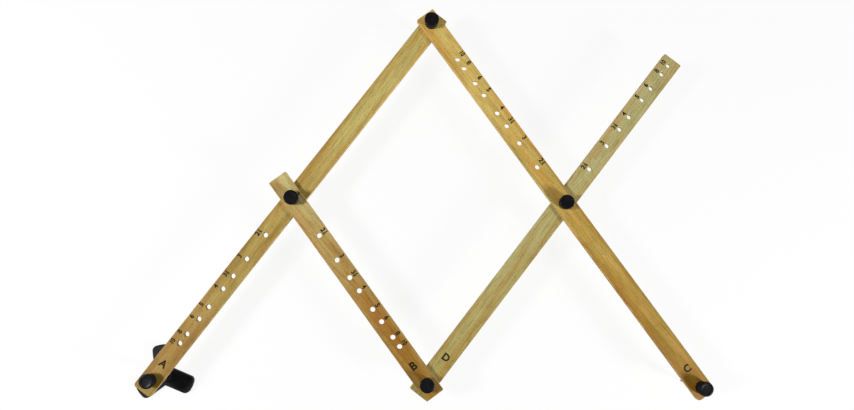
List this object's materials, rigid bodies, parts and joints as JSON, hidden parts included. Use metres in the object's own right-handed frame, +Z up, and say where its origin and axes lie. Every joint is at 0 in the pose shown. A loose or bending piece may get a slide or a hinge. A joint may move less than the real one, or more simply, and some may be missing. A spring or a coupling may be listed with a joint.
{
  "type": "pantograph drawing instrument",
  "caption": "Flat wooden linkage of crossing scale bars on thumb knobs, standing on a three-armed pole base, that copies a drawing at another size.",
  "frame": {"origin": "on the table, on the axis of the pole pivot, at the middle of the base pad's underside", "axes": "+X from the pole to the lead along the line of the three working points, +Y towards the apex, +Z up"},
  "size_m": [0.542, 0.3738, 0.0422],
  "materials": {
    "wood_a": "oiled beech, olive tan",
    "wood_b": "oiled beech, warm brown",
    "wood_c": "oiled beech, golden",
    "wood_d": "oiled beech, pale",
    "knob_plastic": "black moulded, satin",
    "base_plastic": "black moulded, fine texture",
    "pad_rubber": "black foam rubber",
    "steel": "zinc plated",
    "turned_steel": "turned, nickel plated",
    "foot_plastic": "black moulded",
    "glide_metal": "polished",
    "brass": "turned, lacquered",
    "graphite": "graphite, slight sheen"
  },
  "bodies": {
    "base": {"pole_base": "base_plastic", "base_pad": "pad_rubber", "pole_post": "turned_steel", "base_screw": "steel"},
    "arm_a": {"bar_a": "wood_a", "nut_left": "steel", "foot_pillar": "foot_plastic", "foot_glide": "glide_metal"},
    "arm_b": {"bar_b": "wood_b"},
    "arm_c": {"bar_c": "wood_c", "lead_holder": "brass"},
    "arm_d": {"bar_d": "wood_d", "nut_right": "steel", "tracer_holder": "foot_plastic", "tracer_pin": "turned_steel"},
    "pole_fastener": {"knob_pole": "knob_plastic", "screw_pole": "steel"},
    "left_fastener": {"knob_left": "knob_plastic", "screw_left": "steel"},
    "apex_fastener": {"knob_apex": "knob_plastic", "screw_apex": "steel"},
    "right_fastener": {"knob_right": "knob_plastic", "screw_right": "steel"},
    "tracer_fastener": {"knob_tracer": "knob_plastic", "screw_tracer": "steel"},
    "lead_fastener": {"knob_lead": "knob_plastic", "screw_lead": "steel"},
    "lead_ring": {"lead_clamp": "brass"},
    "lead_stick": {"drawing_lead": "graphite"}
  },
  "joints": [
    {"name": "pole_swing", "type": "hinge", "parent": "base", "child": "arm_a", "pos_m": [0, 0, 0], "axis": [0, 0, 1], "continuous": true},
    {"name": "fold", "type": "hinge", "parent": "arm_a", "child": "arm_c", "pos_m": [0.252, 0.336, 0], "axis": [0, 0, 1], "range_deg": [-62, 98]},
    {"name": "left_fold", "type": "hinge", "parent": "arm_a", "child": "arm_b", "pos_m": [0.126, 0.168, 0], "axis": [0, 0, 1], "range_deg": [-62, 98]},
    {"name": "tracer_fold", "type": "hinge", "parent": "arm_b", "child": "arm_d", "pos_m": [0.252, 0, 0], "axis": [0, 0, 1], "range_deg": [-98, 62]},
    {"name": "pole_knob_turn", "type": "hinge", "parent": "base", "child": "pole_fastener", "pos_m": [0, 0, 0], "axis": [0, 0, 1], "continuous": true},
    {"name": "left_knob_turn", "type": "hinge", "parent": "arm_b", "child": "left_fastener", "pos_m": [0.126, 0.168, 0], "axis": [0, 0, 1], "continuous": true},
    {"name": "apex_knob_turn", "type": "hinge", "parent": "arm_c", "child": "apex_fastener", "pos_m": [0.252, 0.336, 0], "axis": [0, 0, 1], "continuous": true},
    {"name": "right_knob_turn", "type": "hinge", "parent": "arm_c", "child": "right_fastener", "pos_m": [0.378, 0.168, 0], "axis": [0, 0, 1], "continuous": true},
    {"name": "tracer_knob_turn", "type": "hinge", "parent": "arm_b", "child": "tracer_fastener", "pos_m": [0.252, 0, 0], "axis": [0, 0, 1], "continuous": true},
    {"name": "lead_knob_turn", "type": "hinge", "parent": "arm_c", "child": "lead_fastener", "pos_m": [0.504, 0, 0], "axis": [0, 0, 1], "continuous": true},
    {"name": "lead_ring_turn", "type": "hinge", "parent": "arm_c", "child": "lead_ring", "pos_m": [0.504, 0, 0], "axis": [0, 0, 1], "continuous": true},
    {"name": "lead_slide", "type": "slide", "parent": "arm_c", "child": "lead_stick", "axis": [0, 0, 1], "range_m": [0, 0.008]}
  ],
  "couplings": [
    {"joint": "left_fold", "follows": "fold", "ratio": 1},
    {"joint": "tracer_fold", "follows": "fold", "ratio": -1}
  ]
}
